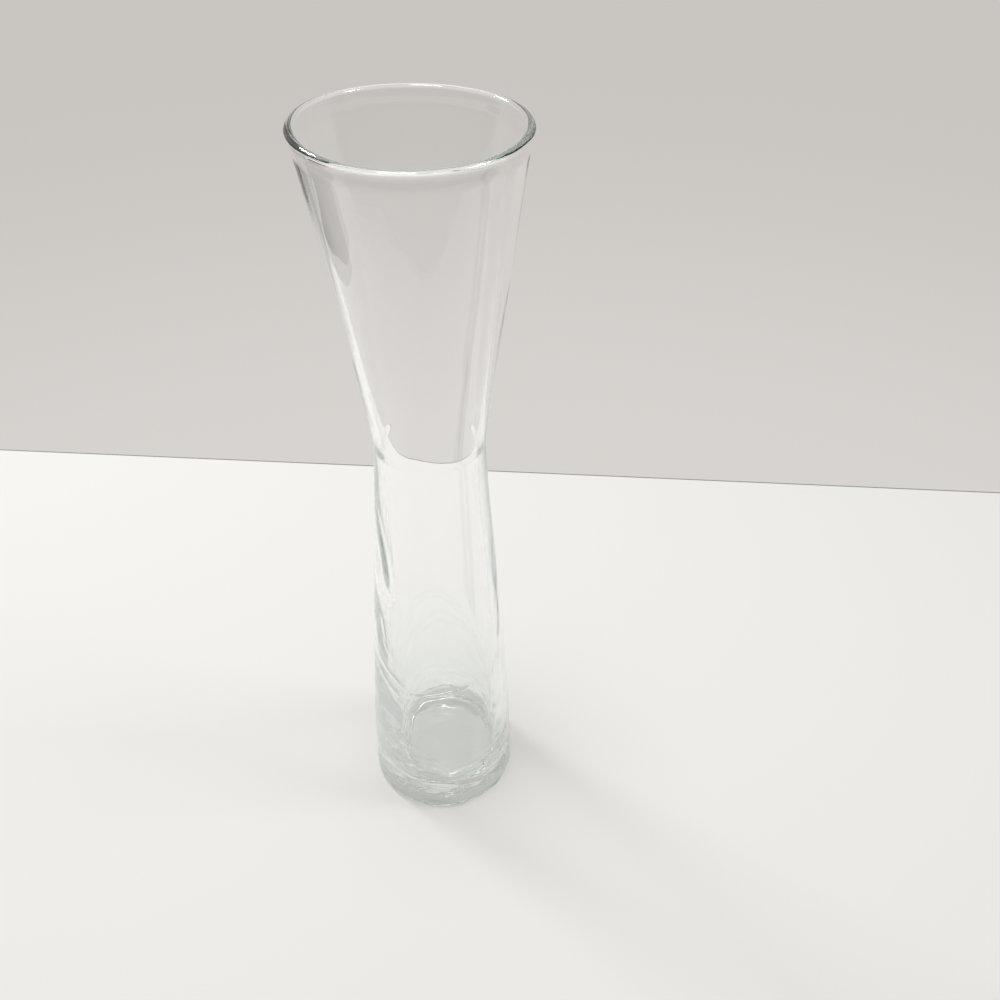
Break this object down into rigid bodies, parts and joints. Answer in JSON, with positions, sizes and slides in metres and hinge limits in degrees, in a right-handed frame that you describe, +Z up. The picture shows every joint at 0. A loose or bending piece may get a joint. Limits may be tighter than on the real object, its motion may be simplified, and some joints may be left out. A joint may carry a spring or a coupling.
{
  "type": "bud vase",
  "caption": "Clear glass bud vase with a flared round mouth, a narrow waist and a thick round foot, for a single stem or a small bunch of flowers.",
  "frame": {"origin": "centre of the foot's standing ring, on the surface the vase stands on", "axes": "+Z up along the vase's axis, out of the mouth"},
  "size_m": [0.061, 0.061, 0.252],
  "materials": {
    "clear_glass": "fire-polished clear soda-lime glass with a faint green tint in the thick foot"
  },
  "bodies": {
    "root": {"glass_vase": "clear_glass"}
  },
  "joints": []
}
